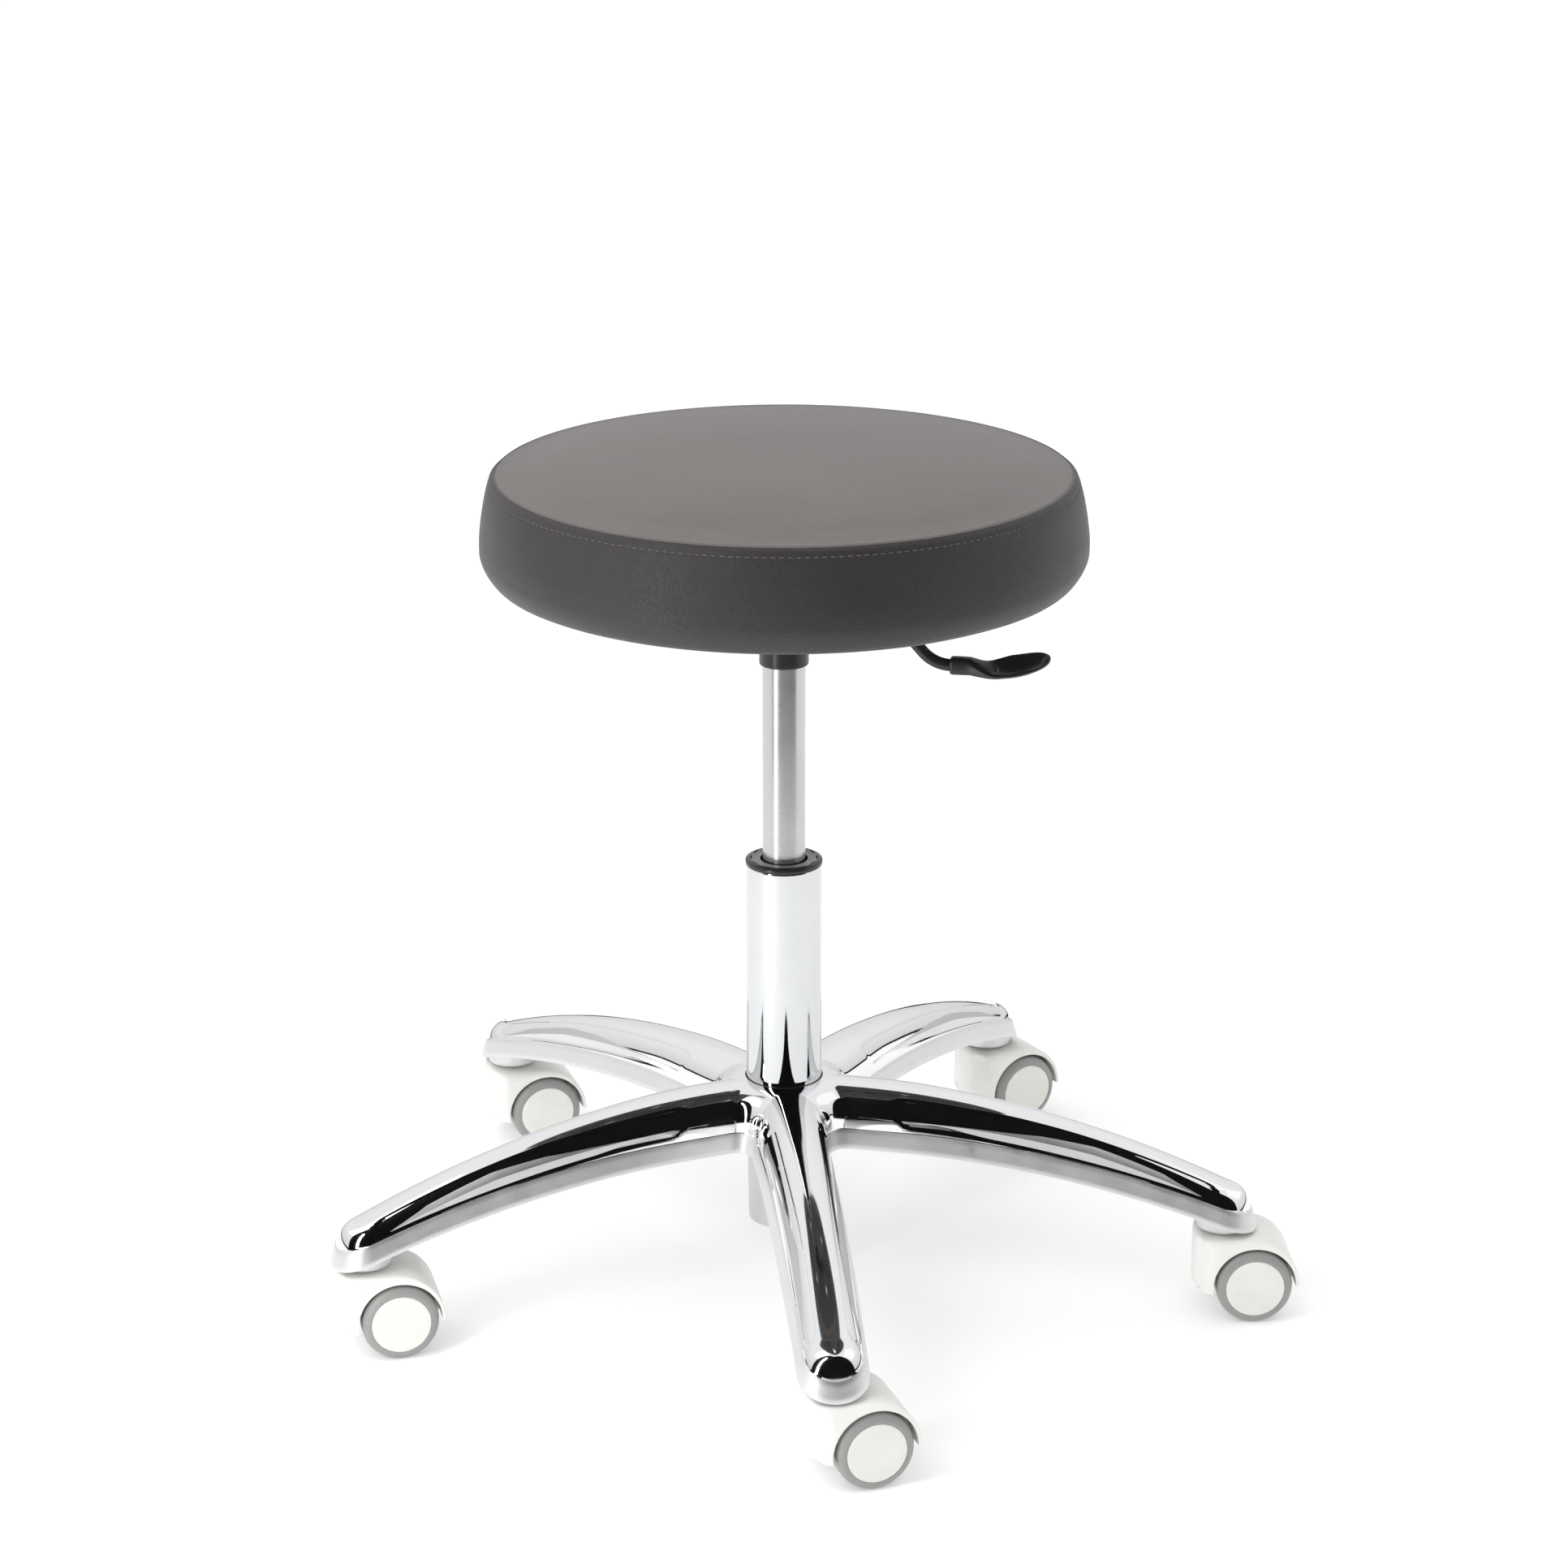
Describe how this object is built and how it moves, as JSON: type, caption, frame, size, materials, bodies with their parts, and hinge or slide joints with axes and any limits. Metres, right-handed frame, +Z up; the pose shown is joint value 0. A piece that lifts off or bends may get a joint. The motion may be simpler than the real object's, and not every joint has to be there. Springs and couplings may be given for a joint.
{
  "type": "adjustable swivel stool",
  "caption": "Round padded swivel stool: height-adjusting gas lift with a side lever, on an arched star base with twin-wheel casters.",
  "frame": {"origin": "floor level on the swivel axis", "axes": "+Z up along the swivel axis; the front arm points near -Y, and the lever points near +X"},
  "size_m": [0.6308, 0.6227, 0.566],
  "materials": {
    "polished_aluminium": "polished top and sides, plain cast band along the lower edge",
    "chrome": "mirror chrome plate, duller on the tapered end",
    "ground_steel": "ground satin tube",
    "bright_steel": "zinc-plated",
    "black_steel": "black powder coat",
    "black_plastic": "moulded, fine grain",
    "bush_plastic": "natural acetal",
    "black_rubber": "moulded",
    "valve_metal": "turned",
    "plywood": "raw plywood",
    "foam": "open-cell foam",
    "leatherette": "fine-grained coated fabric, satin",
    "black_cloth": "thin non-woven cloth",
    "white_plastic": "moulded, satin",
    "wheel_plastic": "moulded, satin",
    "tread": "smooth soft tread"
  },
  "bodies": {
    "base": {"base_casting": "polished_aluminium", "outer_column": "chrome", "column_cap": "black_plastic", "guide_bush": "bush_plastic", "bearing_lower_race": "bright_steel", "bearing_balls": "bright_steel", "caster_stems": "bright_steel", "stem_grip_rings": "bright_steel"},
    "lift_rod": {"bearing_upper_race": "bright_steel", "rod_clip": "bright_steel", "piston_rod": "bright_steel", "piston": "black_rubber", "buffer": "black_rubber"},
    "seat": {"pressure_tube": "ground_steel", "rod_seal": "black_rubber", "valve_body": "valve_metal", "taper_socket": "black_steel", "mechanism_housing": "black_steel", "pivot_pin": "bright_steel", "mount_screws": "bright_steel", "t_nuts": "bright_steel", "seat_board": "plywood", "bottom_cloth": "black_cloth", "seat_foam": "foam", "cover_side": "leatherette", "cover_top": "leatherette", "cover_welt": "leatherette"},
    "lever": {"lever_rod": "black_steel", "lever_handle": "black_plastic"},
    "valve": {"valve_button": "black_plastic"},
    "caster_1": {"caster_1_hood": "white_plastic", "caster_1_axle": "bright_steel"},
    "caster_1_wheel_a": {"caster_1_core_a": "wheel_plastic", "caster_1_tread_a": "tread"},
    "caster_1_wheel_b": {"caster_1_core_b": "wheel_plastic", "caster_1_tread_b": "tread"},
    "caster_2": {"caster_2_hood": "white_plastic", "caster_2_axle": "bright_steel"},
    "caster_2_wheel_a": {"caster_2_core_a": "wheel_plastic", "caster_2_tread_a": "tread"},
    "caster_2_wheel_b": {"caster_2_core_b": "wheel_plastic", "caster_2_tread_b": "tread"},
    "caster_3": {"caster_3_hood": "white_plastic", "caster_3_axle": "bright_steel"},
    "caster_3_wheel_a": {"caster_3_core_a": "wheel_plastic", "caster_3_tread_a": "tread"},
    "caster_3_wheel_b": {"caster_3_core_b": "wheel_plastic", "caster_3_tread_b": "tread"},
    "caster_4": {"caster_4_hood": "white_plastic", "caster_4_axle": "bright_steel"},
    "caster_4_wheel_a": {"caster_4_core_a": "wheel_plastic", "caster_4_tread_a": "tread"},
    "caster_4_wheel_b": {"caster_4_core_b": "wheel_plastic", "caster_4_tread_b": "tread"},
    "caster_5": {"caster_5_hood": "white_plastic", "caster_5_axle": "bright_steel"},
    "caster_5_wheel_a": {"caster_5_core_a": "wheel_plastic", "caster_5_tread_a": "tread"},
    "caster_5_wheel_b": {"caster_5_core_b": "wheel_plastic", "caster_5_tread_b": "tread"}
  },
  "joints": [
    {"name": "seat_swivel", "type": "hinge", "parent": "base", "child": "lift_rod", "pos_m": [0, 0, 0.038], "axis": [0, 0, 1], "continuous": true},
    {"name": "seat_lift", "type": "slide", "parent": "lift_rod", "child": "seat", "axis": [0, 0, 1], "range_m": [-0.12, 0]},
    {"name": "lever_tilt", "type": "hinge", "parent": "seat", "child": "lever", "pos_m": [0.02167, -0.00382, 0.4695], "axis": [-0.1736, -0.9848, 0], "range_deg": [0, 7], "stiffness_Nm_per_rad": 2, "springref_deg": -5.73},
    {"name": "valve_travel", "type": "slide", "parent": "seat", "child": "valve", "axis": [0, 0, -1], "range_m": [0, 0.0028]},
    {"name": "caster_1_swivel", "type": "hinge", "parent": "base", "child": "caster_1", "pos_m": [0.02981, -0.29349, 0.0575], "axis": [0, 0, 1], "continuous": true},
    {"name": "caster_1_roll_a", "type": "hinge", "parent": "caster_1", "child": "caster_1_wheel_a", "pos_m": [0.04749, -0.2874, 0.025], "axis": [-0.3256, 0.9455, 0], "continuous": true},
    {"name": "caster_1_roll_b", "type": "hinge", "parent": "caster_1", "child": "caster_1_wheel_b", "pos_m": [0.04749, -0.2874, 0.025], "axis": [-0.3256, 0.9455, 0], "continuous": true},
    {"name": "caster_2_swivel", "type": "hinge", "parent": "base", "child": "caster_2", "pos_m": [0.28834, -0.06234, 0.0575], "axis": [0, 0, 1], "continuous": true},
    {"name": "caster_2_roll_a", "type": "hinge", "parent": "caster_2", "child": "caster_2_wheel_a", "pos_m": [0.30701, -0.06136, 0.025], "axis": [-0.0523, 0.9986, 0], "continuous": true},
    {"name": "caster_2_roll_b", "type": "hinge", "parent": "caster_2", "child": "caster_2_wheel_b", "pos_m": [0.30701, -0.06136, 0.025], "axis": [-0.0523, 0.9986, 0], "continuous": true},
    {"name": "caster_3_swivel", "type": "hinge", "parent": "base", "child": "caster_3", "pos_m": [0.14839, 0.25496, 0.0575], "axis": [0, 0, 1], "continuous": true},
    {"name": "caster_3_roll_a", "type": "hinge", "parent": "caster_3", "child": "caster_3_wheel_a", "pos_m": [0.16442, 0.26459, 0.025], "axis": [-0.515, 0.8572, 0], "continuous": true},
    {"name": "caster_3_roll_b", "type": "hinge", "parent": "caster_3", "child": "caster_3_wheel_b", "pos_m": [0.16442, 0.26459, 0.025], "axis": [-0.515, 0.8572, 0], "continuous": true},
    {"name": "caster_4_swivel", "type": "hinge", "parent": "base", "child": "caster_4", "pos_m": [-0.19663, 0.21991, 0.0575], "axis": [0, 0, 1], "continuous": true},
    {"name": "caster_4_roll_a", "type": "hinge", "parent": "caster_4", "child": "caster_4_wheel_a", "pos_m": [-0.17884, 0.22569, 0.025], "axis": [-0.309, 0.9511, 0], "continuous": true},
    {"name": "caster_4_roll_b", "type": "hinge", "parent": "caster_4", "child": "caster_4_wheel_b", "pos_m": [-0.17884, 0.22569, 0.025], "axis": [-0.309, 0.9511, 0], "continuous": true},
    {"name": "caster_5_swivel", "type": "hinge", "parent": "base", "child": "caster_5", "pos_m": [-0.26991, -0.11905, 0.0575], "axis": [0, 0, 1], "continuous": true},
    {"name": "caster_5_roll_a", "type": "hinge", "parent": "caster_5", "child": "caster_5_wheel_a", "pos_m": [-0.25177, -0.11452, 0.025], "axis": [-0.2419, 0.9703, 0], "continuous": true},
    {"name": "caster_5_roll_b", "type": "hinge", "parent": "caster_5", "child": "caster_5_wheel_b", "pos_m": [-0.25177, -0.11452, 0.025], "axis": [-0.2419, 0.9703, 0], "continuous": true}
  ],
  "couplings": [
    {"joint": "valve_travel", "follows": "lever_tilt", "m_per_rad": 0.022}
  ]
}
